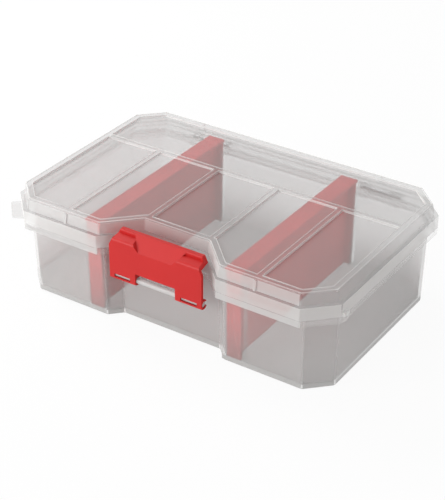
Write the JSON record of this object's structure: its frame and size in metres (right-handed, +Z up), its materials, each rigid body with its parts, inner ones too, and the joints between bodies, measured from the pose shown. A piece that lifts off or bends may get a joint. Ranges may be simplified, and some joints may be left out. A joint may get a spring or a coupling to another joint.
{
  "type": "compartment storage box",
  "caption": "Low rectangular clear-plastic storage box with cut corners, a pin-hinged lid, a front clip latch and lift-out dividers that split it into compartments",
  "frame": {"origin": "centre of the tray's flat underside, on the surface that the box stands on", "axes": "+X along the long side to the right as the latch is faced, -Y towards the latch, +Z up"},
  "size_m": [0.2571, 0.1722, 0.0732],
  "materials": {
    "frosted_plastic": "satin",
    "red_plastic": "satin",
    "pin_steel": "satin"
  },
  "bodies": {
    "tray_body": {"tray": "frosted_plastic", "divider_left": "red_plastic", "divider_right": "red_plastic", "hinge_pin_left": "pin_steel", "hinge_pin_right": "pin_steel"},
    "lid_body": {"lid": "frosted_plastic"},
    "latch_body": {"latch": "red_plastic"}
  },
  "joints": [
    {"name": "lid_hinge", "type": "hinge", "parent": "tray_body", "child": "lid_body", "pos_m": [0, 0.0863, 0.0561], "axis": [-1, 0, 0], "range_deg": [0, 110]},
    {"name": "latch_pivot", "type": "hinge", "parent": "tray_body", "child": "latch_body", "pos_m": [0, -0.0796, 0.0412], "axis": [1, 0, 0], "range_deg": [0, 120]}
  ]
}
